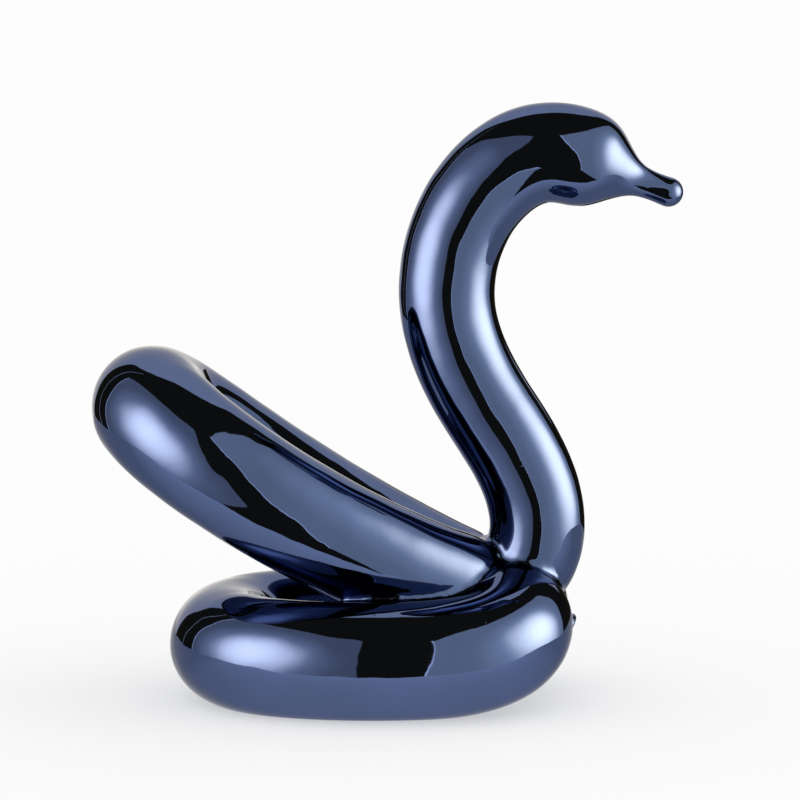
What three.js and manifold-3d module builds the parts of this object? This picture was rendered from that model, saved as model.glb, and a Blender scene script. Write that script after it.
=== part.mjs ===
// A tabletop ornament in the form of a balloon swan, as a balloon modeller twists one from a single
// long balloon: a ring that lies flat for the body, a second loop nested in it that rises for the tail,
// and the rest for the neck, with the limp tip as the beak. It is cast in one piece, so it is one solid.
// The swan faces +X. Z = 0 is the surface that it stands on.

import * as THREE from 'three';
import { NURBSCurve } from 'three/addons/curves/NURBSCurve.js';
import { mergeVertices } from 'three/addons/utils/BufferGeometryUtils.js';
import Module from 'manifold-3d';

// Driving dimensions, in millimetres
const HEIGHT = 250;
const BODY_DIAMETER = 49;
const TAIL_DIAMETER = 48;
const NECK_DIAMETER = 40;
const HEAD_DIAMETER = 42;
const BEAK_DIAMETER = 11;
const BEAK_LENGTH = 25;
const BEAK_FILLET = 8;
const FOOT_FLAT_DEPTH = 1.5;
const CORE_DIAMETER = 30;
const KNOT_DIAMETER = 13;
const KNOT_LENGTH = 10;
const LIP_DIAMETER = 17;
const LIP_LENGTH = 7;
const LIP_THICKNESS = 3;

// Proportions
const TAIL_SWELL = 0.05;
const HEAD_SWELL_START = 0.45;
const HEAD_SWELL_END = 0.85;
const BEAK_ROOT_FLARE = 0.7;
const BEAK_TIP_SWELL = 0.15;
const KNOT_WAIST = 0.6;
const KNOT_SHOULDER = 0.9;
const KNOT_DIP = THREE.MathUtils.degToRad(30);

// How finely the balloon is measured and faceted
const ARC_LENGTH_STEPS = 600;
const CROWN_SEARCH_STEPS = 400;
const SIDES = 24;
const STATION_STEP = 6.5;
const END_STATIONS = 6;
const KNOT_CURVE_STEPS = 4;
const WELD = 1e-3;
const SLIVER = 0.02;

// The routes of the balloon's centre line from the twist, as control points in shares of the height.
// The body's points past the first two have no height of their own, because it rests on the ground there.
const TWIST = [0.2, 0, 0.17];
const BODY_HALF = [
  [0.24, 0.085, 0.14], [0.19, 0.185, 0.1], [0.04, 0.205], [-0.1, 0.2], [-0.21, 0.15], [-0.262, 0.055],
];
const TAIL_HALF = [
  [0.12, 0.045, 0.19], [0, 0.1, 0.245], [-0.15, 0.13, 0.325], [-0.3, 0.14, 0.425], [-0.39, 0.07, 0.495],
];
const NECK = [
  [0.27, 0, 0.24], [0.265, 0, 0.38], [0.16, 0, 0.52], [0.09, 0, 0.68], [0.13, 0, 0.86], [0.25, 0, 0.965],
  [0.36, 0, 0.93], [0.43, 0, 0.895], [0.5, 0, 0.87],
];

const wasm = await Module();
wasm.setup();

const bodyRadius = BODY_DIAMETER / 2;
const tailRadius = TAIL_DIAMETER / 2;
const twist = new THREE.Vector3(...TWIST).multiplyScalar(HEIGHT);

// A curve through clamped cubic spline control points, which keeps its curvature continuous.
function route(points) {
  const degree = 3;
  const inner = points.length - degree;
  const knots = [
    ...Array(degree + 1).fill(0),
    ...Array.from({ length: inner - 1 }, (_, i) => (i + 1) / inner),
    ...Array(degree + 1).fill(1),
  ];
  const curve = new NURBSCurve(degree, knots, points);
  curve.arcLengthDivisions = ARC_LENGTH_STEPS;
  return curve;
}

// A loop leaves the twist on the +Y side and comes back to it on the other side as a mirror image.
function loopRoute(half, restingHeight) {
  const out = half.map(([x, y, z = restingHeight / HEIGHT]) =>
    new THREE.Vector3(x, y, z).multiplyScalar(HEIGHT));
  const back = out.map(({ x, y, z }) => new THREE.Vector3(x, -y, z)).reverse();
  return route([twist, ...out, ...back, twist]);
}

// The neck's route is stretched upright until its crown stands at the stated height.
function neckRoute() {
  const rise = (stretch) => route([
    twist,
    ...NECK.map(([x, y, z]) => new THREE.Vector3(x, y, z * stretch).multiplyScalar(HEIGHT)),
  ]);
  const highest = Math.max(...rise(1).getSpacedPoints(CROWN_SEARCH_STEPS).map((point) => point.z));
  return rise((HEIGHT - HEAD_DIAMETER / 2) / highest);
}

// Radius of a rounded end at the distance s from its tip, and below nothing past the tip.
function roundedEnd(s, radius) {
  const t = Math.min(s / radius, 1);
  return t > 0 ? radius * Math.sqrt(t * (2 - t)) : radius * t;
}

// The larger of two radii, with the corner between them filled over the given width.
function filleted(a, b, width) {
  const overlap = Math.max(width - Math.abs(a - b), 0);
  return Math.max(a, b) + (overlap * overlap) / (4 * width);
}

// Stations along the balloon: evenly spaced, with extra ones where a rounded end curves fast.
function stations(length, startLength, endLength = startLength) {
  const cap = (reach) => Array.from({ length: END_STATIONS }, (_, i) =>
    reach * (1 - Math.cos((i / END_STATIONS) * (Math.PI / 2))));
  const straight = length - startLength - endLength;
  const count = Math.round(straight / STATION_STEP);
  const middle = Array.from({ length: count + 1 }, (_, i) => startLength + (straight * i) / count);
  return [...cap(startLength), ...middle, ...cap(endLength).map((s) => length - s).reverse()];
}

// The balloon as it comes, straight, turned on the lathe, and then bent along its route.
function bentBalloon(curve, along, radiusAt) {
  const length = along.at(-1);
  const profile = along.map((s) => new THREE.Vector2(Math.max(radiusAt(s), 0), s));
  const geometry = new THREE.LatheGeometry(profile, SIDES);
  let tangent = curve.getTangentAt(0);
  const across = new THREE.Vector3(0, 1, 0).cross(tangent).normalize();
  const frames = along.map((s) => {
    const next = curve.getTangentAt(Math.min(s / length, 1));
    across.applyQuaternion(new THREE.Quaternion().setFromUnitVectors(tangent, next));
    tangent = next;
    const centre = curve.getPointAt(Math.min(s / length, 1));
    return { centre, across: across.clone(), up: across.clone().cross(tangent) };
  });
  const position = geometry.getAttribute('position');
  for (let i = 0; i < position.count; i++) {
    const frame = frames[i % along.length];
    const point = frame.centre.clone()
      .addScaledVector(frame.across, position.getX(i))
      .addScaledVector(frame.up, position.getZ(i));
    position.setXYZ(i, ...point);
  }
  return geometry;
}

// The flat ring that the swan sits on.
function body() {
  const curve = loopRoute(BODY_HALF, bodyRadius - FOOT_FLAT_DEPTH);
  const length = curve.getLength();
  return bentBalloon(curve, stations(length, bodyRadius), (s) =>
    roundedEnd(Math.min(s, length - s), bodyRadius));
}

// The loop that rises behind, a little fuller where it turns.
function tail() {
  const curve = loopRoute(TAIL_HALF);
  const length = curve.getLength();
  return bentBalloon(curve, stations(length, tailRadius), (s) => {
    const radius = tailRadius * (1 - TAIL_SWELL * Math.cos((2 * Math.PI * s) / length));
    return roundedEnd(Math.min(s, length - s), radius);
  });
}

// The neck, the head and the limp tip of the balloon that makes the beak.
function neck() {
  const curve = neckRoute();
  const length = curve.getLength();
  const headEnd = length - BEAK_LENGTH;
  const beakRadius = BEAK_DIAMETER / 2;
  return bentBalloon(curve, [
    ...stations(headEnd, NECK_DIAMETER / 2, HEAD_DIAMETER / 2).slice(0, -1),
    ...stations(BEAK_LENGTH, beakRadius).slice(1).map((s) => headEnd + s),
  ], (s) => {
    const share = THREE.MathUtils.smoothstep(s / length, HEAD_SWELL_START, HEAD_SWELL_END);
    const tube = THREE.MathUtils.lerp(NECK_DIAMETER, HEAD_DIAMETER, share) / 2;
    const out = THREE.MathUtils.clamp((s - headEnd) / (BEAK_LENGTH - beakRadius), 0, 1);
    const shape = 1 + BEAK_ROOT_FLARE * (1 - out) ** 3 + BEAK_TIP_SWELL * out ** 2;
    const beak = roundedEnd(length - s, beakRadius * shape);
    const dome = roundedEnd(headEnd - s, tube);
    return Math.min(roundedEnd(s, tube), filleted(dome, beak, BEAK_FILLET));
  });
}

// The tied knot and its rolled lip, which sit between the two front bends of the body.
function knot() {
  const reach = CORE_DIAMETER / 2;
  const root = -reach / 2;
  const bulge = KNOT_DIAMETER / 2;
  const waist = KNOT_WAIST * bulge;
  const bead = LIP_THICKNESS / 2;
  const beadCentre = LIP_DIAMETER / 2 - bead;
  const lipStart = KNOT_LENGTH + LIP_LENGTH - LIP_THICKNESS;
  const outline = new THREE.Path();
  outline.moveTo(0, root);
  outline.lineTo(waist, root);
  outline.bezierCurveTo(waist, 0, bulge, 0, bulge, KNOT_LENGTH / 2);
  outline.bezierCurveTo(bulge, KNOT_LENGTH, waist, KNOT_SHOULDER * KNOT_LENGTH, waist, KNOT_LENGTH);
  outline.quadraticCurveTo(waist, lipStart, beadCentre, lipStart);
  outline.absarc(beadCentre, lipStart + bead, bead, -Math.PI / 2, Math.PI / 2);
  outline.quadraticCurveTo(waist, lipStart + LIP_THICKNESS, 0, lipStart);
  const geometry = new THREE.LatheGeometry(outline.getPoints(KNOT_CURVE_STEPS), SIDES / 2);
  geometry.rotateX(Math.PI / 2).rotateY(Math.PI / 2 + KNOT_DIP);
  return geometry.translate(twist.x + reach * Math.cos(KNOT_DIP), 0, twist.z - reach * Math.sin(KNOT_DIP));
}

// The ball of twisted rubber where all the ends meet.
function core() {
  return new THREE.SphereGeometry(CORE_DIAMETER / 2, SIDES, SIDES / 2).translate(...twist);
}

// What lies below the ground is cut away, which leaves flats for the ring to rest on.
function ground() {
  const side = 2 * HEIGHT;
  return new THREE.BoxGeometry(side, side, bodyRadius).translate(0, 0, -bodyRadius / 2);
}

function solid(geometry) {
  geometry.deleteAttribute('normal');
  geometry.deleteAttribute('uv');
  const merged = mergeVertices(geometry, WELD);
  const faces = [];
  for (let i = 0; i < merged.index.count; i += 3) {
    const [a, b, c] = [0, 1, 2].map((k) => merged.index.getX(i + k));
    if (a !== b && b !== c && c !== a) faces.push(a, b, c);
  }
  const vertProperties = merged.getAttribute('position').array;
  return new wasm.Manifold(new wasm.Mesh({ numProp: 3, vertProperties, triVerts: new Uint32Array(faces) }));
}

function geometryOf(shape) {
  const { vertProperties, triVerts } = shape.getMesh();
  const geometry = new THREE.BufferGeometry();
  geometry.setAttribute('position', new THREE.BufferAttribute(vertProperties, 3));
  geometry.setIndex(new THREE.BufferAttribute(triVerts, 1));
  geometry.computeVertexNormals();
  geometry.computeBoundingBox();
  return geometry;
}

const cast = [tail(), neck(), core(), knot()].map(solid)
  .reduce((joined, next) => joined.add(next), solid(body()))
  .subtract(solid(ground()));

const lustreGlaze = new THREE.MeshStandardMaterial({ color: 0x4f5d89, roughness: 0.08, metalness: 1 });
const swan = new THREE.Mesh(geometryOf(cast.simplify(SLIVER)), lustreGlaze);
swan.name = 'balloon_swan';
const box = swan.geometry.boundingBox;
swan.position.x = -(box.min.x + box.max.x) / 2;

const ornament = new THREE.Group();
ornament.add(swan);

export default ornament;
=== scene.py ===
# Looks of an ornament cast in one piece in the form of a balloon swan: one fine mesh of the whole cast,
# with the fillets, pleats and faint waves that its faceted solid leaves out, in a dark-blue mirror lustre.
import math

import bmesh
import bpy
import numpy as np
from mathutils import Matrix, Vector

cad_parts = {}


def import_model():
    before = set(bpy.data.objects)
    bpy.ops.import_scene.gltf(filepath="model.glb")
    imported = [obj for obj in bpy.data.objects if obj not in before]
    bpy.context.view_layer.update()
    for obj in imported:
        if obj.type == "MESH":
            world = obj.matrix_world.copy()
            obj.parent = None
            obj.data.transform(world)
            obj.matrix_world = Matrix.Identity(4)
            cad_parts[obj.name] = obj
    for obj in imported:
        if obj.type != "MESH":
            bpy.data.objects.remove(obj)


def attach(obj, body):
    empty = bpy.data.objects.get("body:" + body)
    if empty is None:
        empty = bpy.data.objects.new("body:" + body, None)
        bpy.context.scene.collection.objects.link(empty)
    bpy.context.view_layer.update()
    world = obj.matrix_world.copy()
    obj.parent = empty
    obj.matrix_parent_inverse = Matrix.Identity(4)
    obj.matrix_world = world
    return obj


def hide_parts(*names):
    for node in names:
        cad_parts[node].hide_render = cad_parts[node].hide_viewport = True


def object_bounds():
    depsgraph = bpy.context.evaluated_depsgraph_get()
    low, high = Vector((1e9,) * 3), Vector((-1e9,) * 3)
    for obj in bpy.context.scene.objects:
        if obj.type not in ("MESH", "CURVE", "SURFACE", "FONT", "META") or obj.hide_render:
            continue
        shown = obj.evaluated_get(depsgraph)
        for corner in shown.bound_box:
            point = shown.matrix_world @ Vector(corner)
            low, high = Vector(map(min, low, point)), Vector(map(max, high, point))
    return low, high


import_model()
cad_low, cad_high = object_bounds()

NODE = "balloon_swan"
BODY = "root"
SLOT = "lustre_glaze"

# Sizes of the cast, in millimetres, as its solid has them
HEIGHT = 250
BODY_RADIUS = 24.5
TAIL_RADIUS = 24
NECK_RADIUS = 20
HEAD_RADIUS = 21
BEAK_RADIUS = 5.5
BEAK_LENGTH = 25
BEAK_FILLET = 8
FOOT_FLAT_DEPTH = 1.5
CORE_RADIUS = 15
KNOT_RADIUS = 6.5
KNOT_LENGTH = 10
LIP_RADIUS = 8.5
LIP_LENGTH = 7
LIP_THICKNESS = 3

# Proportions, as in the solid
TAIL_SWELL = 0.05
HEAD_SWELL_START = 0.45
HEAD_SWELL_END = 0.85
BEAK_ROOT_FLARE = 0.7
BEAK_TIP_SWELL = 0.15
KNOT_DIP = math.radians(30)

# The knot's bulge, where 1 is a ball and less is longer, and the mouth's wall as a share of the lip's
KNOT_ROUNDNESS = 0.9
MOUTH_WALL = 0.75

# The routes of the balloon's centre line from the twist, in shares of the height, as in the solid
TWIST = (0.2, 0, 0.17)
BODY_HALF = [
    (0.24, 0.085, 0.14), (0.19, 0.185, 0.1), (0.04, 0.205), (-0.1, 0.2), (-0.21, 0.15), (-0.262, 0.055),
]
TAIL_HALF = [
    (0.12, 0.045, 0.19), (0, 0.1, 0.245), (-0.15, 0.13, 0.325), (-0.3, 0.14, 0.425), (-0.39, 0.07, 0.495),
]
NECK = [
    (0.27, 0, 0.24), (0.265, 0, 0.38), (0.16, 0, 0.52), (0.09, 0, 0.68), (0.13, 0, 0.86), (0.25, 0, 0.965),
    (0.36, 0, 0.93), (0.43, 0, 0.895), (0.5, 0, 0.87),
]

# Finer forms that the solid leaves out, in millimetres, and as shares of a radius or slopes
CREASE_FILLET = 5
KNOT_FILLET = 2.5
KNOT_ROOT_FILLET = 5
FOOT_EDGE = 1
BODY_CREASE = (-10, 10)
TAIL_CREASE = (-45, -25)
END_SOFTNESS = 0.35
BEAK_ROOT_SOFTNESS = 0.25
PLEATS = 26
PLEAT_DEPTH = 0.3
PLEAT_REACH = 6
KNOT_WRAPS = 2
KNOT_WRAP_DEPTH = 0.5
WAVE_SLOPE = 0.015
WAVE_LENGTHS = (8, 26)
WAVE_COUNT = 18
WAVE_START_HEIGHTS = (2, 12)
PUCKER_FINENESS = 3
PUCKER_STRENGTH = 7
PUCKER_WIDTH = 2.5
PUCKER_REACH = 60
MOUTH_HOLE_RADIUS = 1.2
MOUTH_HOLE_DEPTH = 3
MOUTH_PLEATS = 11
MOUTH_PLEAT_DEPTH = 0.2

# How finely the cast is measured and meshed: millimetres, and numbers of samples, cells and rounds
SPLINE_SAMPLES = 8001
ROUTE_STEP = 1.0
ROUTE_STRIDE = 6
RUN_ON = 18
PAST_MIDDLE = 4
CELL = 1.7
COARSE_CELLS = 3
MARGIN_CELLS = 2
NEAR_CELLS = 1.5
PINCH_FILL = -0.1
SLOPE_STEP = 0.05
REFINEMENTS = 2
REFINED_REACHES = 1.5
RELAX_ROUNDS = 3
SETTLE_ROUNDS = 2
FLAT_LIMIT = 0.02
LEAST_FILLET = 1e-6
LEAST_BEND = 1e-9
CHUNK = 20000

MIRROR = np.array((1, -1, 1))
RANDOM_SEED = 7

twist = np.array(TWIST) * HEIGHT
rng = np.random.default_rng(RANDOM_SEED)


def spline(control, spacing=ROUTE_STEP):
    """Distances and points, evenly spaced, along a clamped cubic B-spline that runs on straight for a
    little at both ends."""
    control = np.array(control, float)
    knots = np.concatenate([np.zeros(3), np.linspace(0, 1, len(control) - 2), np.ones(3)])
    t = np.linspace(0, 1, SPLINE_SAMPLES)[:, None]
    basis = ((knots[:-1] <= t) & (t < knots[1:])).astype(float)
    basis[-1, len(control) - 1] = 1
    for degree in (1, 2, 3):
        rise = knots[degree:-1] - knots[:-degree - 1]
        fall = knots[degree + 1:] - knots[1:-degree]
        up = (t - knots[:-degree - 1]) / np.where(rise > 0, rise, np.inf)
        down = (knots[degree + 1:] - t) / np.where(fall > 0, fall, np.inf)
        basis = up * basis[:, :-1] + down * basis[:, 1:]
    points = basis @ control
    travelled = np.concatenate([[0], np.cumsum(np.linalg.norm(np.diff(points, axis=0), axis=1))])
    s = np.linspace(0, travelled[-1], round(travelled[-1] / spacing) + 1)
    points = np.stack([np.interp(s, travelled, points[:, k]) for k in range(3)], axis=1)
    more = np.arange(1, round(RUN_ON / spacing) + 1)[:, None]
    before = points[0] + (points[0] - points[1]) * more[::-1]
    after = points[-1] + (points[-1] - points[-2]) * more
    more = more[:, 0] * (s[1] - s[0])
    return np.concatenate([-more[::-1], s, s[-1] + more]), np.concatenate([before, points, after])


def soft_ramp(x, softness):
    """Nothing where x is well below nothing, x where it is well above, and a smooth turn between."""
    return (x + np.hypot(x, softness)) / 2


def smoothstep(x, start, end):
    """Nothing up to the start, one from the end on, and a smooth rise between."""
    t = np.clip((x - start) / (end - start), 0, 1)
    return t * t * (3 - 2 * t)


def joined(a, b, fillet):
    """The lower of two distances, which is the union of two forms, with the crease between them filled."""
    fillet = np.maximum(fillet, LEAST_FILLET)
    overlap = np.maximum(fillet - np.abs(a - b), 0)
    return np.minimum(a, b) - overlap * overlap / (4 * fillet)


def carried_frames(points):
    """Unit vectors across the route, carried along it without twisting, and the tangents."""
    tangents = np.gradient(points, axis=0)
    tangents /= np.linalg.norm(tangents, axis=1)[:, None]
    across = np.cross((0, 1, 0), tangents[0])
    frames = []
    for tangent in tangents:
        across = across - tangent * (across @ tangent)
        across = across / np.linalg.norm(across)
        frames.append(across)
    return np.array(frames), tangents


def lowest(before, here, after):
    """Where the parabola through three values is lowest, in steps from the middle, and its bend."""
    bend = np.maximum(before - 2 * here + after, LEAST_BEND)
    return np.clip((before - after) / (2 * bend), -1, 1), bend


class Balloon:
    """A stretch of inflated balloon: the form that a ball of changing radius sweeps along a route. Its round
    ends, where it has any, have their poles at the first and last places, and run smoothly into the tube."""

    def __init__(self, s, points, radius_at, first=None, last=None):
        self.s = s
        self.points = points
        self.radius_at = radius_at
        self.first = first
        self.last = last
        self.across, self.tangents = carried_frames(points)
        self.squares = (points ** 2).sum(1)

    def past_ends(self, s):
        """How far a place lies beyond the centre of the ball at either end, with a soft start."""
        over = 0
        for pole, side in ((self.first, -1), (self.last, 1)):
            if pole is not None:
                radius = self.radius_at(pole)
                middle = side * pole - radius * (1 - END_SOFTNESS ** 2 / 4)
                over = over + soft_ramp(side * s - middle, END_SOFTNESS * radius)
        return over

    def part_distance(self, at):
        """Distances for one batch of points, with the pleats that the balloon has near the twist."""
        rows = np.arange(len(at))
        rough = self.squares[::ROUTE_STRIDE] - 2 * at @ self.points[::ROUTE_STRIDE].T
        i = np.clip(rough.argmin(1), 1, rough.shape[1] - 2)
        shift, _ = lowest(*(rough[rows, i + k] for k in (-1, 0, 1)))
        i = np.clip(np.rint(ROUTE_STRIDE * (i + shift)).astype(int), 1, len(self.points) - 2)
        before, here, after = (
            self.squares[i + k] - 2 * (at * self.points[i + k]).sum(1) for k in (-1, 0, 1))
        shift, bend = lowest(before, here, after)
        gap = here + shift * (after - before) / 2 + shift * shift * bend / 2 + (at ** 2).sum(1)
        s = self.s[i] + shift * (self.s[1] - self.s[0])
        around = at - self.points[i]
        up = np.cross(self.across[i], self.tangents[i])
        angle = np.arctan2((around * up).sum(1), (around * self.across[i]).sum(1))
        from_twist = np.linalg.norm(at - twist, axis=1) - CORE_RADIUS
        pleats = PLEAT_DEPTH * np.cos(PLEATS * angle) * np.exp(-np.maximum(from_twist, 0) / PLEAT_REACH)
        return np.sqrt(np.maximum(gap, 0) + self.past_ends(s) ** 2) - self.radius_at(s) - pleats

    def distance(self, at):
        """Distance from each point to the balloon's surface, and below nothing inside it."""
        parts = [self.part_distance(at[i:i + CHUNK]) for i in range(0, len(at), CHUNK)]
        return np.concatenate(parts)


def loop_half(half, resting_height, radius_at_share):
    """The +Y half of a loop that leaves the twist and comes back to it, running a little past its middle."""
    out = np.array([(*point, resting_height / HEIGHT)[:3] for point in half]) * HEIGHT
    back = (out * MIRROR)[::-1]
    s, points = spline([twist, *out, *back, twist])
    length = s[-1] - RUN_ON
    kept = s < length / 2 + PAST_MIDDLE
    return Balloon(s[kept], points[kept], lambda at: radius_at_share(at / length), first=0)


def neck_route():
    """The neck's route, stretched upright until its crown stands at the stated height."""
    points = np.array(NECK) * HEIGHT
    highest = spline([twist, *points])[1][:, 2].max()
    return spline([twist, *(points * (1, 1, (HEIGHT - HEAD_RADIUS) / highest))])


body_half = loop_half(BODY_HALF, BODY_RADIUS - FOOT_FLAT_DEPTH, lambda share: BODY_RADIUS)
tail_half = loop_half(
    TAIL_HALF, 0, lambda share: TAIL_RADIUS * (1 - TAIL_SWELL * np.cos(2 * np.pi * share)))
neck_s, neck_points = neck_route()
neck_length = neck_s[-1] - RUN_ON
head_end = neck_length - BEAK_LENGTH


def neck_radius(s):
    """The neck's radius, which swells towards the head."""
    return NECK_RADIUS + (HEAD_RADIUS - NECK_RADIUS) * smoothstep(
        s / neck_length, HEAD_SWELL_START, HEAD_SWELL_END)


def beak_radius(s):
    """The beak's radius, flared at its root and slightly swollen at its tip."""
    out = np.minimum(soft_ramp((s - head_end) / (BEAK_LENGTH - BEAK_RADIUS), BEAK_ROOT_SOFTNESS), 1)
    return BEAK_RADIUS * (1 + BEAK_ROOT_FLARE * (1 - out) ** 3 + BEAK_TIP_SWELL * out ** 2)


in_neck = neck_s < head_end + RUN_ON
in_beak = neck_s > head_end - HEAD_RADIUS / 2
neck = Balloon(neck_s[in_neck], neck_points[in_neck], neck_radius, first=0, last=head_end)
beak = Balloon(neck_s[in_beak], neck_points[in_beak], beak_radius, last=neck_length)


def segment(a, r, start, end):
    """Distance in a plane, with the coordinates a and r, to the straight line between two points."""
    run = np.subtract(end, start)
    t = np.clip(((a - start[0]) * run[0] + (r - start[1]) * run[1]) / (run @ run), 0, 1)
    return np.hypot(a - start[0] - t * run[0], r - start[1] - t * run[1])


def knot_distance(at):
    """The tied knot, with its wraps, and the rolled lip of the balloon's mouth."""
    out = np.array((math.cos(KNOT_DIP), 0, -math.sin(KNOT_DIP)))
    side = np.array((0, 1, 0))
    away = at - (twist + out * CORE_RADIUS)
    a = away @ out
    b = away @ side
    c = away @ np.cross(out, side)
    r = np.hypot(b, c)
    angle = np.arctan2(c, b)
    middle = KNOT_LENGTH / 2
    bulge = np.hypot((a - middle) * KNOT_ROUNDNESS, r) - KNOT_RADIUS
    wrap = KNOT_WRAP_DEPTH * np.cos(KNOT_WRAPS * angle + 2 * np.pi * (a - middle) / KNOT_LENGTH)
    bulge -= wrap * np.exp(-((a - middle) / middle) ** 2)
    bead = LIP_THICKNESS / 2
    rim = (KNOT_LENGTH + LIP_LENGTH - bead, LIP_RADIUS - bead)
    throat = (KNOT_LENGTH + LIP_THICKNESS, 0)
    stem = segment(a, r, (0, 0), throat) - KNOT_RADIUS / 2
    pleats = MOUTH_PLEAT_DEPTH * np.cos(MOUTH_PLEATS * angle) * smoothstep(r, bead, 2 * bead)
    pleats = pleats * (1 - smoothstep(r, rim[1] - bead, rim[1]))
    mouth = segment(a, r, throat, rim) - MOUTH_WALL * bead - pleats
    roll = np.hypot(a - rim[0], r - rim[1]) - bead
    whole = joined(bulge, joined(joined(stem, mouth, KNOT_FILLET), roll, bead), KNOT_FILLET)
    hole = segment(a, r, (throat[0] - MOUTH_HOLE_DEPTH, 0), (rim[0], 0)) - MOUTH_HOLE_RADIUS
    return -joined(-whole, hole, bead)


def wave_terms():
    """Vectors, phases and depths of the faint waves that casting and glazing leave in the surface. Each
    wave has the same slope, so the short ones are the shallow ones."""
    directions = rng.normal(size=(WAVE_COUNT, 3))
    directions /= np.linalg.norm(directions, axis=1)[:, None]
    rates = 2 * np.pi / rng.uniform(*WAVE_LENGTHS, WAVE_COUNT)
    return directions * rates[:, None], rng.uniform(0, 2 * np.pi, WAVE_COUNT), WAVE_SLOPE / rates


WAVE_VECTORS, WAVE_PHASES, WAVE_DEPTHS = wave_terms()


def ripple(at, fineness):
    """The sum of the waves at each point, or of waves so many times finer and shallower."""
    waves = np.sin(fineness * at @ WAVE_VECTORS.T + WAVE_PHASES) @ WAVE_DEPTHS
    return waves * math.sqrt(2 / WAVE_COUNT) / fineness


def parts(at):
    """Distance to each main form of the cast, at each point."""
    mirrored = at * MIRROR
    body = joined(body_half.distance(at), body_half.distance(mirrored),
                  CREASE_FILLET * smoothstep(at[:, 0], *BODY_CREASE))
    tail = joined(tail_half.distance(at), tail_half.distance(mirrored),
                  CREASE_FILLET * smoothstep(at[:, 0], *TAIL_CREASE))
    head = joined(neck.distance(at), beak.distance(at), BEAK_FILLET)
    core = np.linalg.norm(at - twist, axis=1) - CORE_RADIUS
    return body, tail, head, core, knot_distance(at)


def cast(at):
    """Distance from each point to the surface of the whole cast, and below nothing inside it."""
    body, tail, head, core, knot = parts(at)
    shape = joined(joined(joined(body, tail, CREASE_FILLET), head, CREASE_FILLET), core, CREASE_FILLET)
    shape = joined(shape, knot, KNOT_ROOT_FILLET)
    first, second, _ = np.sort([body, tail, head], axis=0)
    from_twist = np.linalg.norm(at - twist, axis=1) - CORE_RADIUS
    creased = np.exp((first - second) / PUCKER_WIDTH - np.maximum(from_twist, 0) / PUCKER_REACH)
    puckers = PUCKER_STRENGTH * ripple(at, PUCKER_FINENESS) * creased
    shape = shape + (ripple(at, 1) + puckers) * smoothstep(at[:, 2], *WAVE_START_HEIGHTS)
    return -joined(-shape, at[:, 2], FOOT_EDGE)


CORNERS = np.array([(1, 1, 1), (1, -1, -1), (-1, 1, -1), (-1, -1, 1)], float)


def slope(at):
    """How fast, and in which direction, the distance grows at each point."""
    return sum(corner * cast(at + SLOPE_STEP * corner)[:, None] for corner in CORNERS) / (4 * SLOPE_STEP)


def settled(at, rounds=1):
    """The points moved straight on to the surface."""
    for _ in range(rounds):
        steepest = slope(at)
        at = at - steepest * (cast(at) / (steepest ** 2).sum(1))[:, None]
    return at


def fill_pinches(values):
    """Fills one corner of every square whose inside corners touch only across it, because there two sheets
    of the surface would share an edge."""
    pinched = True
    while pinched:
        pinched = False
        for axis in range(3):
            u, v = (axis + 1) % 3, (axis + 2) % 3
            corner = {}
            for du in (0, 1):
                for dv in (0, 1):
                    part = [slice(None)] * 3
                    part[u] = slice(du, values.shape[u] - 1 + du)
                    part[v] = slice(dv, values.shape[v] - 1 + dv)
                    corner[du, dv] = values[tuple(part)]
            for start in (0, 1):
                a, b = corner[0, start], corner[1, 1 - start]
                c, d = corner[0, 1 - start], corner[1, start]
                checkered = (a < 0) & (b < 0) & (c >= 0) & (d >= 0)
                nearer = checkered & (c <= d)
                c[nearer] = PINCH_FILL
                d[checkered & ~nearer] = PINCH_FILL
                pinched = pinched or bool(checkered.any())


def lattice():
    """The distance on a lattice of points round the cast, exact only near the surface."""
    routes = [body_half.points, tail_half.points, neck.points, beak.points]
    reach = np.concatenate(routes + [route * MIRROR for route in routes])
    low = reach.min(0) - BODY_RADIUS - MARGIN_CELLS * COARSE_CELLS * CELL
    high = reach.max(0) + BODY_RADIUS + MARGIN_CELLS * COARSE_CELLS * CELL
    counts = np.ceil((high - low) / (COARSE_CELLS * CELL)).astype(int)
    coarse_axes = [low[k] + COARSE_CELLS * CELL * np.arange(counts[k]) for k in range(3)]
    coarse = cast(np.stack(np.meshgrid(*coarse_axes, indexing="ij"), -1).reshape(-1, 3)).reshape(counts)
    values = coarse
    for axis in range(3):
        values = values.repeat(COARSE_CELLS, axis)
    corner = low - CELL * (COARSE_CELLS - 1) / 2
    near = np.argwhere(np.abs(values) < NEAR_CELLS * COARSE_CELLS * CELL)
    values[tuple(near.T)] = cast(corner + CELL * near)
    fill_pinches(values)
    return values, corner


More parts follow.
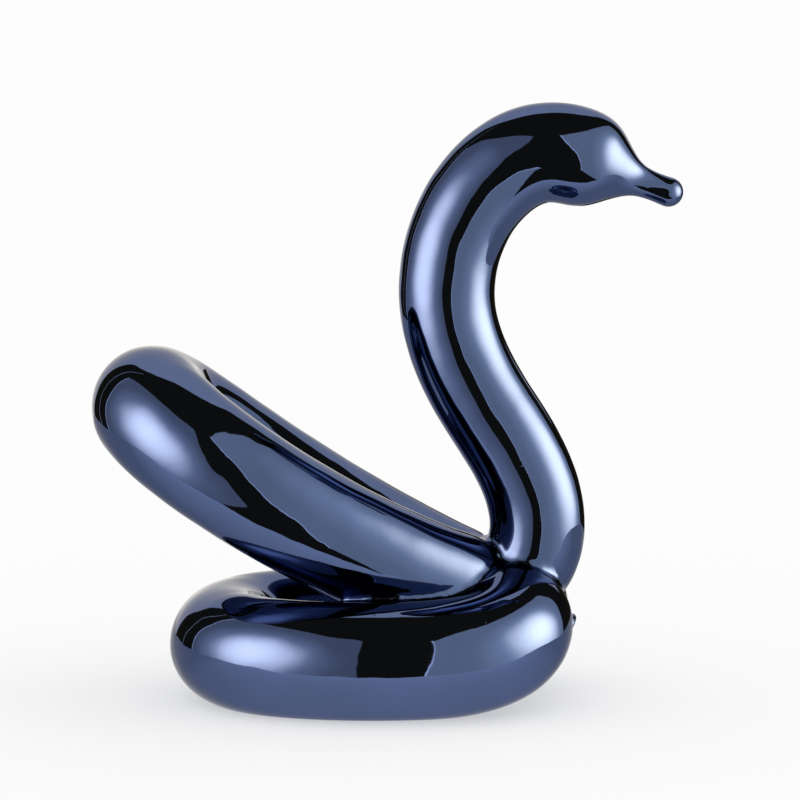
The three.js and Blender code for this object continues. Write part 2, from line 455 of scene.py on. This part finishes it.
def surface_nets(values, corner):
    """Vertices and quads of the zero level of a lattice, with one vertex in each cell that it crosses."""
    inside = values < 0
    cells = tuple(n - 1 for n in values.shape)
    total = np.zeros((*cells, 3))
    count = np.zeros(cells)
    for axis in range(3):
        u, v = (axis + 1) % 3, (axis + 2) % 3
        for du in (0, 1):
            for dv in (0, 1):
                start = [0, 0, 0]
                start[u], start[v] = du, dv
                first = tuple(slice(start[k], start[k] + cells[k]) for k in range(3))
                start[axis] = 1
                second = tuple(slice(start[k], start[k] + cells[k]) for k in range(3))
                a, b = values[first], values[second]
                crossed = inside[first] != inside[second]
                gap = np.where(crossed, a - b, 1)
                total[..., axis] += np.where(crossed, a / gap, 0)
                total[..., u] += crossed * du
                total[..., v] += crossed * dv
                count += crossed
    used = np.argwhere(count > 0)
    where = tuple(used.T)
    points = corner + CELL * (used + total[where] / count[where][:, None])
    number = np.full(cells, -1)
    number[where] = np.arange(len(used))
    quads = []
    for axis in range(3):
        u, v = (axis + 1) % 3, (axis + 2) % 3
        near = [slice(None)] * 3
        far = [slice(None)] * 3
        near[axis], far[axis] = slice(0, -1), slice(1, None)
        edges = np.argwhere(inside[tuple(near)] != inside[tuple(far)])
        ring = []
        for du, dv in ((-1, -1), (0, -1), (0, 0), (-1, 0)):
            cell = edges.copy()
            cell[:, u] += du
            cell[:, v] += dv
            ring.append(number[tuple(cell.T)])
        quad = np.stack(ring, axis=1)
        leaving = inside[tuple(edges.T)]
        quads.append(np.where(leaving[:, None], quad, quad[:, ::-1]))
    return points, np.concatenate(quads)


def relaxed(points, edges, rounds):
    """The points evened out along the surface."""
    for _ in range(rounds):
        total = np.zeros_like(points)
        for k in range(3):
            total[:, k] = (np.bincount(edges[:, 0], points[edges[:, 1], k], len(points))
                           + np.bincount(edges[:, 1], points[edges[:, 0], k], len(points)))
        count = np.bincount(edges.ravel(), minlength=len(points))
        points = settled((points + total / count[:, None]) / 2)
    return points


def detail_level(points):
    """How many times the mesh is refined at each point: near creases, pleats, the beak and the knot."""
    body, tail, head, core, knot = parts(points)
    forms = np.sort([body, tail, head, core, knot], axis=0)
    creased = forms[1] < CREASE_FILLET
    mirrored = points * MIRROR
    for half, crease in ((body_half, BODY_CREASE), (tail_half, TAIL_CREASE)):
        both = np.maximum(half.distance(points), half.distance(mirrored))
        creased |= (both < CREASE_FILLET) & (points[:, 0] > crease[0])
    creased |= np.linalg.norm(points - twist, axis=1) < CORE_RADIUS + REFINED_REACHES * PLEAT_REACH
    creased |= (points[:, 2] < CELL) & (forms[0] > -CELL)
    small = (beak.distance(points) < 2 * CELL) | creased
    return small.astype(int) + (knot < CELL)


def read_mesh(mesh):
    """The mesh's points, and the two ends of each edge."""
    points = np.empty(3 * len(mesh.vertices))
    mesh.vertices.foreach_get("co", points)
    edges = np.empty(2 * len(mesh.edges), int)
    mesh.edges.foreach_get("vertices", edges)
    return points.reshape(-1, 3), edges.reshape(-1, 2)


def refined(mesh, wanted):
    """Splits every edge that lies wholly where more detail is wanted."""
    shape = bmesh.new()
    shape.from_mesh(mesh)
    shape.verts.ensure_lookup_table()
    split = [edge for edge in shape.edges if all(wanted[vert.index] for vert in edge.verts)]
    bmesh.ops.subdivide_edges(shape, edges=split, cuts=1, use_grid_fill=True)
    bmesh.ops.triangulate(shape, faces=[face for face in shape.faces if len(face.verts) > 4])
    shape.to_mesh(mesh)
    shape.free()


def swan_mesh():
    """The fine mesh of the whole cast, evened out, refined, and fitted exactly to the solid's box."""
    points, quads = surface_nets(*lattice())
    mesh = bpy.data.meshes.new(NODE)
    mesh.from_pydata(settled(points).tolist(), [], quads.tolist())
    for level in range(REFINEMENTS + 1):
        points, edges = read_mesh(mesh)
        points = relaxed(points, edges, RELAX_ROUNDS)
        mesh.vertices.foreach_set("co", points.ravel())
        if level < REFINEMENTS:
            refined(mesh, detail_level(points) > level)
    points = settled(points, SETTLE_ROUNDS)
    normals = slope(points)
    normals /= np.linalg.norm(normals, axis=1)[:, None]
    flat = points[:, 2] < FLAT_LIMIT
    low, high = points.min(0), points.max(0)
    points = np.array(cad_low) + (points - low) * (np.array(cad_high - cad_low) / (high - low))
    mesh.vertices.foreach_set("co", points.ravel())
    for face in mesh.polygons:
        face.use_smooth = True
        face.material_index = int(all(flat[v] for v in face.vertices))
    mesh.update()
    mesh.normals_split_custom_set_from_vertices(normals.tolist())
    return mesh


# The Mix node's sockets for colours, by number, because its sockets for other kinds share their names
MIX_FACTOR = 0
MIX_LOW = 6
MIX_HIGH = 7
MIX_RESULT = 2


def new_material(name):
    """A new material, with its nodes, its links and its main shader."""
    material = bpy.data.materials.new(name)
    material.use_nodes = True
    nodes = material.node_tree.nodes
    return material, nodes, material.node_tree.links, nodes["Principled BSDF"]


def noise(nodes, links, coordinates, scale, detail=2.0):
    """A noise texture whose grain is about one divided by the scale, in metres."""
    texture = nodes.new("ShaderNodeTexNoise")
    texture.inputs["Scale"].default_value = scale
    texture.inputs["Detail"].default_value = detail
    links.new(coordinates, texture.inputs["Vector"])
    return texture.outputs["Fac"]


def ranged(nodes, links, value, given, wanted):
    """The value stretched from a given range to a wanted one."""
    node = nodes.new("ShaderNodeMapRange")
    node.inputs["From Min"].default_value = given[0]
    node.inputs["From Max"].default_value = given[1]
    node.inputs["To Min"].default_value = wanted[0]
    node.inputs["To Max"].default_value = wanted[1]
    links.new(value, node.inputs["Value"])
    return node.outputs["Result"]


def times(nodes, links, a, b):
    """The product of two values."""
    node = nodes.new("ShaderNodeMath")
    node.operation = "MULTIPLY"
    links.new(a, node.inputs[0])
    links.new(b, node.inputs[1])
    return node.outputs[0]


def blended(nodes, links, factor, low, high):
    """A colour between two, by a factor. Each of the two is plain, or comes from another node."""
    node = nodes.new("ShaderNodeMix")
    node.data_type = "RGBA"
    for socket, colour in ((node.inputs[MIX_LOW], low), (node.inputs[MIX_HIGH], high)):
        if isinstance(colour, bpy.types.NodeSocket):
            links.new(colour, socket)
        else:
            socket.default_value = (*colour, 1)
    links.new(factor, node.inputs[MIX_FACTOR])
    return node.outputs[MIX_RESULT]


def bumped(nodes, links, height, distance, below=None):
    """The surface's direction, tilted by a height, on top of any bump below."""
    node = nodes.new("ShaderNodeBump")
    node.inputs["Strength"].default_value = 1
    node.inputs["Distance"].default_value = distance
    links.new(height, node.inputs["Height"])
    if below is not None:
        links.new(below, node.inputs["Normal"])
    return node.outputs["Normal"]


# The lustre and the bare clay: linear colours, sizes in metres, scales of noise, and shares
LUSTRE_THIN = (0.067, 0.094, 0.192)
LUSTRE_THICK = (0.074, 0.104, 0.216)
LUSTRE_EDGE = (0.6, 0.6, 0.62)
TONE_SCALE = 22
TONE_RANGE = (0.35, 0.65)
HAZE_SCALE = 60
HAZE_RANGE = (0.3, 0.75)
ROUGHNESS = (0.022, 0.05)
PEEL_SIZE = 0.006
PEEL_DEPTH = 0.00003
PIT_SPACING = 0.019
PIT_RADIUS = 0.00035
PIT_DEPTH = 0.00012
DUST_SPACING = 0.006
DUST_RADIUS = 0.00016
DUST_CORE = 0.4
DUST_FACING = (0.3, 0.8)
DUST_PATCH_SCALE = 35
DUST_PATCH_RANGE = (0.45, 0.6)
DUST_COVER = 0.35
DUST_TONE = (0.42, 0.40, 0.38)
BISQUE_SCALE = 700
BISQUE_DARK = (0.62, 0.58, 0.52)
BISQUE_LIGHT = (0.74, 0.71, 0.66)
BISQUE_ROUGHNESS = 0.85
BISQUE_DEPTH = 0.0001


def specks(nodes, links, coordinates, spacing, radius):
    """Nothing at the middle of each scattered speck, and one outside them all."""
    cells = nodes.new("ShaderNodeTexVoronoi")
    cells.inputs["Scale"].default_value = 1 / spacing
    links.new(coordinates, cells.inputs["Vector"])
    return ranged(nodes, links, cells.outputs["Distance"], (0, radius / spacing), (0, 1))


def dust(nodes, links, coordinates):
    """How much dust lies at each point: a few grains, only where the surface faces up."""
    faces = nodes.new("ShaderNodeSeparateXYZ")
    links.new(nodes.new("ShaderNodeNewGeometry").outputs["Normal"], faces.inputs[0])
    upward = ranged(nodes, links, faces.outputs["Z"], DUST_FACING, (0, 1))
    grains = specks(nodes, links, coordinates, DUST_SPACING, DUST_RADIUS)
    grains = ranged(nodes, links, grains, (DUST_CORE, 1), (1, 0))
    patches = noise(nodes, links, coordinates, DUST_PATCH_SCALE)
    patches = ranged(nodes, links, patches, DUST_PATCH_RANGE, (0, DUST_COVER))
    return times(nodes, links, times(nodes, links, grains, patches), upward)


def lustre_material():
    """Dark-blue metallic lustre over glaze: a near-perfect mirror, with an orange peel that only its
    reflections show, broad faint changes of tone, a few pinholes, and here and there a grain of dust."""
    material, nodes, links, shader = new_material(SLOT)
    where = nodes.new("ShaderNodeTexCoord").outputs["Object"]
    tone = ranged(nodes, links, noise(nodes, links, where, TONE_SCALE, detail=3), TONE_RANGE, (0, 1))
    lustre = blended(nodes, links, tone, LUSTRE_THIN, LUSTRE_THICK)
    dusty = dust(nodes, links, where)
    links.new(blended(nodes, links, dusty, lustre, DUST_TONE), shader.inputs["Base Color"])
    links.new(ranged(nodes, links, dusty, (0, 1), (1, 0)), shader.inputs["Metallic"])
    shader.inputs["Specular Tint"].default_value = (*LUSTRE_EDGE, 1)
    haze = noise(nodes, links, where, HAZE_SCALE, detail=4)
    links.new(ranged(nodes, links, haze, HAZE_RANGE, ROUGHNESS), shader.inputs["Roughness"])
    hole = specks(nodes, links, where, PIT_SPACING, PIT_RADIUS)
    peel = noise(nodes, links, where, 1 / PEEL_SIZE, detail=1)
    surface = bumped(nodes, links, peel, PEEL_DEPTH)
    links.new(bumped(nodes, links, hole, PIT_DEPTH, below=surface), shader.inputs["Normal"])
    return material


def bisque_material():
    """Unglazed clay, ground level, under the foot."""
    material, nodes, links, shader = new_material("bisque")
    where = nodes.new("ShaderNodeTexCoord").outputs["Object"]
    grain = noise(nodes, links, where, BISQUE_SCALE, detail=4)
    links.new(blended(nodes, links, grain, BISQUE_DARK, BISQUE_LIGHT), shader.inputs["Base Color"])
    shader.inputs["Roughness"].default_value = BISQUE_ROUGHNESS
    links.new(bumped(nodes, links, grain, BISQUE_DEPTH), shader.inputs["Normal"])
    return material


def swan():
    """The piece that stands for the solid, in its two finishes."""
    piece = bpy.data.objects.new("balloon_swan_cast", swan_mesh())
    bpy.context.scene.collection.objects.link(piece)
    piece.data.materials.append(lustre_material())
    piece.data.materials.append(bisque_material())
    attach(piece, BODY)
    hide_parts(NODE)
    return piece


# The studio, in metres: directions are degrees round the swan from the camera, with plus to its right, and
# a lamp's place is its direction and height
FLOOR_TONE = 0.98
FLOOR_GLOW = 0.5
FLOOR_SIZE = 40
# The near paper that only the cast's mirror sees: a darker copy of the floor's paper, as painted shade, and
# painted light glowing at its front edge
BOARD_SHADED_TONE = 0.74
BOARD_GLOW = 0.6
BOARD_GLOW_REACH = 0.14
BOARD_FRONT = -0.135
BOARD_BACK = 0.42
BOARD_SIDE = 0.62
BOARD_CORNER = 0.35
BOARD_WAVE_DEPTH = 0.0025
CURVE_STEPS = 160
SCREEN_DISTANCE = 0.8
SCREEN_BOTTOM = -0.6
SCREEN_TOP = 1.5
LEFT_SCREEN = (-116, -9)
RIGHT_SCREEN = (11, 124)
GAP_LIGHT_DIRECTION = -127
GAP_LIGHT_WIDTH = 0.012
SCREEN_EDGE_WIDTH = 0.03
SCREEN_EDGE_NEARNESS = 0.98
BACK_SCREEN_HALF = 0.6
BACK_SCREEN_AT = 0.8
BACK_SCREEN_TOP = 1.2
BACK_SCREEN_NEAR = 0.25
BACK_CUT_START = 0.12
BACK_CUT_TOP = 0.28
BACK_EDGE_POWER = 3
SCREEN_GLOW = 1.1
SCREEN_GLOW_REACH = 1.15
SCREEN_LAMP_REACH = 0.66
LEFT_FILL = 0.55
LEFT_TINT = (1.06, 1.04, 1.02)
LEFT_LAMP = (6.6, 5.4, 3.6)
LEFT_LAMP_PLACE = (-60, 0.25)
RIGHT_FILL = 1.0
RIGHT_TINT = (1.06, 1.08, 0.98)
RIGHT_LAMP = (9.2, 7.4, 4.2)
RIGHT_LAMP_PLACE = (88, 0.3)
BACK_TONE = (1.35, 1.3, 1.2)
GAP_LIGHT = (1.1, 1.05, 0.9)
EDGE_LIGHT = (2.8, 2.75, 2.6)
ROOM_TONE = (0.05, 0.04, 0.022)

# The rate, phase and share of each wave in the near paper's front edge
BOARD_WAVES = ((21, 1, 1), (57, 0, 0.6), (131, 2, 0.35))


def stage_object(name, points, faces, material, **seen_by):
    """A flat piece of the studio, seen only by the kinds of ray that are named."""
    mesh = bpy.data.meshes.new(name)
    mesh.from_pydata([tuple(point) for point in points], [], faces)
    mesh.materials.append(material)
    piece = bpy.data.objects.new(name, mesh)
    bpy.context.scene.collection.objects.link(piece)
    for kind in ("camera", "diffuse", "glossy", "transmission", "volume_scatter", "shadow"):
        setattr(piece, f"visible_{kind}", seen_by.get(kind, False))
    return piece


def paper_material(name, glow):
    """Matt white paper that also glows a little by itself, which softens the shadow on it."""
    material, _, _, shader = new_material(name)
    shader.inputs["Base Color"].default_value = (FLOOR_TONE - glow,) * 3 + (1,)
    shader.inputs["Emission Color"].default_value = (1, 1, 1, 1)
    shader.inputs["Emission Strength"].default_value = glow
    shader.inputs["Roughness"].default_value = 1.0
    shader.inputs["Specular IOR Level"].default_value = 0.0
    return material


def board_material():
    """The paper as the cast mirrors it: a darker copy of the floor's paper, as painted shade, with painted
    light that glows brighter towards its front edge.
    """
    material = paper_material("studio_board", FLOOR_TONE - BOARD_SHADED_TONE)
    nodes, links = material.node_tree.nodes, material.node_tree.links
    place = nodes.new("ShaderNodeSeparateXYZ")
    links.new(nodes.new("ShaderNodeTexCoord").outputs["Object"], place.inputs[0])
    # Painted light: an emission that is strongest at the front edge and fades out a short way in
    lit = (BOARD_FRONT, BOARD_FRONT + BOARD_GLOW_REACH)
    front = ranged(nodes, links, place.outputs["Y"], lit, (BOARD_GLOW, 0))
    links.new(front, nodes["Principled BSDF"].inputs["Emission Strength"])
    return material


def glow_node(nodes, colour):
    """An even glow of one colour."""
    node = nodes.new("ShaderNodeEmission")
    node.inputs["Color"].default_value = (*colour, 1)
    node.inputs["Strength"].default_value = 1
    return node


def lit_screen_material(name, colour):
    """A screen with an even glow."""
    material, nodes, links, shader = new_material(name)
    nodes.remove(shader)
    links.new(glow_node(nodes, colour).outputs[0], nodes["Material Output"].inputs["Surface"])
    return material


def lamp_screen_material(name, tint, fill, lamp, centre):
    """A screen with a lamp behind it: an even glow, a broad soft one, and a bright round spot."""
    material = lit_screen_material(name, tint)
    nodes, links = material.node_tree.nodes, material.node_tree.links
    away = nodes.new("ShaderNodeVectorMath")
    away.operation = "DISTANCE"
    away.inputs[1].default_value = centre
    links.new(nodes.new("ShaderNodeTexCoord").outputs["Object"], away.inputs[0])
    broad = nodes["Emission"]
    spot = glow_node(nodes, lamp)
    for node, reach, middle, edge in (
        (broad, SCREEN_GLOW_REACH, fill + SCREEN_GLOW, fill),
        (spot, SCREEN_LAMP_REACH, 1, 0),
    ):
        fade = ranged(nodes, links, away.outputs["Value"], (0, reach), (middle, edge))
        fade.node.interpolation_type = "SMOOTHERSTEP"
        links.new(fade, node.inputs["Strength"])
    both = nodes.new("ShaderNodeAddShader")
    links.new(broad.outputs[0], both.inputs[0])
    links.new(spot.outputs[0], both.inputs[1])
    links.new(both.outputs[0], nodes["Material Output"].inputs["Surface"])
    return material


def around(degrees, distance, height):
    """A point at a direction round the swan from the camera."""
    turn = math.radians(degrees)
    return Vector((distance * math.sin(turn), -distance * math.cos(turn), height))


def upright_strip(name, start, end, bottom, colour):
    """A narrow upright line of light between two points."""
    points = [point + Vector((0, 0, z)) for point, z in (
        (start, bottom), (end, bottom), (end, SCREEN_TOP), (start, SCREEN_TOP))]
    stage_object(name, points, [(0, 1, 2, 3)], lit_screen_material(name, colour), glossy=True)


def side_screen(name, span, tint, fill, lamp, lamp_place):
    """A flat upright screen that fills a span of directions round the swan, with a bright first edge."""
    middle = (span[0] + span[1]) / 2
    half = math.radians(span[1] - span[0]) / 2
    near = around(middle, SCREEN_DISTANCE, 0)
    along = around(middle + 90, SCREEN_DISTANCE * math.tan(half), 0)
    points = [near + side * along + Vector((0, 0, z))
              for side, z in ((-1, SCREEN_BOTTOM), (1, SCREEN_BOTTOM), (1, SCREEN_TOP), (-1, SCREEN_TOP))]
    lamp_direction, lamp_height = lamp_place
    off_middle = math.tan(math.radians(lamp_direction - middle))
    lamp_at = near + around(middle + 90, SCREEN_DISTANCE * off_middle, lamp_height)
    material = lamp_screen_material(name, tint, fill, lamp, lamp_at)
    stage_object(name, points, [(0, 1, 2, 3)], material, glossy=True)
    edge = (near - along) * SCREEN_EDGE_NEARNESS
    upright_strip(name + "_edge", edge, edge + along.normalized() * SCREEN_EDGE_WIDTH, SCREEN_BOTTOM,
                  EDGE_LIGHT)


def board_front():
    """The front edge of the near paper, slightly wavy, with rounded corners."""
    front = []
    for i in range(CURVE_STEPS + 1):
        x = BOARD_SIDE * math.sin(math.pi * (i / CURVE_STEPS - 0.5))
        inset = max(abs(x) - BOARD_SIDE + BOARD_CORNER, 0)
        corner = BOARD_CORNER - math.sqrt(BOARD_CORNER ** 2 - inset ** 2)
        wave = sum(share * math.sin(rate * x + phase) for rate, phase, share in BOARD_WAVES)
        front.append((x, BOARD_FRONT + corner + BOARD_WAVE_DEPTH * wave, 0))
    return front


def back_screen():
    """A screen behind, cut away low on the right, that bends forward overhead as far as a curved edge."""
    half, y, top = BACK_SCREEN_HALF, BACK_SCREEN_AT, BACK_SCREEN_TOP
    overhead = []
    for i in range(CURVE_STEPS + 1):
        across = 1 - 2 * i / CURVE_STEPS
        forward = (y - BACK_SCREEN_NEAR) * (1 - abs(across) ** BACK_EDGE_POWER)
        overhead.append((half * across, y - forward, top))
    upright = [(-half, y, 0), (BACK_CUT_START, y, 0), (BACK_CUT_START, y, BACK_CUT_TOP),
               (half, y, BACK_CUT_TOP), overhead[0], overhead[-1]]
    glow = lit_screen_material("screen_back", BACK_TONE)
    for name, outline in (("screen_back", upright), ("screen_overhead", overhead)):
        stage_object(name, outline, [tuple(range(len(outline)))], glow, glossy=True)


def studio():
    """The floor, the near paper, the two side screens, the line of light beside them, and the back."""
    half = FLOOR_SIZE / 2
    corners = [(-half, -half, 0), (half, -half, 0), (half, half, 0), (-half, half, 0)]
    paper = paper_material("studio_paper", FLOOR_GLOW)
    stage_object("floor", corners, [(0, 1, 2, 3)], paper, camera=True, diffuse=True)
    side, cut = BOARD_SIDE, BACK_CUT_START
    board = [*board_front(), (side, BOARD_BACK, 0), (cut, BOARD_BACK, 0), (cut, BACK_SCREEN_AT, 0),
             (-side, BACK_SCREEN_AT, 0)]
    stage_object("floor_near", board, [tuple(range(len(board)))], board_material(), glossy=True)
    side_screen("screen_left", LEFT_SCREEN, LEFT_TINT, LEFT_FILL, LEFT_LAMP, LEFT_LAMP_PLACE)
    side_screen("screen_right", RIGHT_SCREEN, RIGHT_TINT, RIGHT_FILL, RIGHT_LAMP, RIGHT_LAMP_PLACE)
    gap_start = around(GAP_LIGHT_DIRECTION, SCREEN_DISTANCE, 0)
    gap_end = gap_start + around(GAP_LIGHT_DIRECTION + 90, GAP_LIGHT_WIDTH, 0)
    upright_strip("light_gap", gap_start, gap_end, 0, GAP_LIGHT)
    back_screen()


def world():
    """Even pale light on the floor and behind it, and a dark room in the mirror."""
    sky = bpy.data.worlds.new("studio")
    bpy.context.scene.world = sky
    sky.use_nodes = True
    nodes, links = sky.node_tree.nodes, sky.node_tree.links
    ray = nodes.new("ShaderNodeLightPath")
    seen = blended(nodes, links, ray.outputs["Is Camera Ray"], (1, 1, 1), (FLOOR_TONE,) * 3)
    colour = blended(nodes, links, ray.outputs["Is Glossy Ray"], seen, ROOM_TONE)
    links.new(colour, nodes["Background"].inputs["Color"])


# The camera, in metres and degrees, and its sensor in millimetres
SENSOR_WIDTH = 36
CAMERA_DISTANCE = 1.6
CAMERA_ELEVATION = 6
CAMERA_AIM = Vector((0.0056, 0, 0.1255))
FRAME_WIDTH = 0.335


def camera():
    """The camera, which looks slightly down on the swan's right side."""
    data = bpy.data.cameras.new("camera")
    data.sensor_width = SENSOR_WIDTH
    data.lens = SENSOR_WIDTH * CAMERA_DISTANCE / FRAME_WIDTH
    view = bpy.data.objects.new("camera", data)
    bpy.context.scene.collection.objects.link(view)
    rise = math.radians(CAMERA_ELEVATION)
    back = Vector((0, -math.cos(rise), math.sin(rise)))
    view.location = CAMERA_AIM + back * CAMERA_DISTANCE
    view.rotation_mode = "QUATERNION"
    view.rotation_quaternion = (-back).to_track_quat("-Z", "Y")
    bpy.context.scene.camera = view


swan()
studio()
world()
camera()
bpy.context.scene.view_settings.view_transform = "Standard"
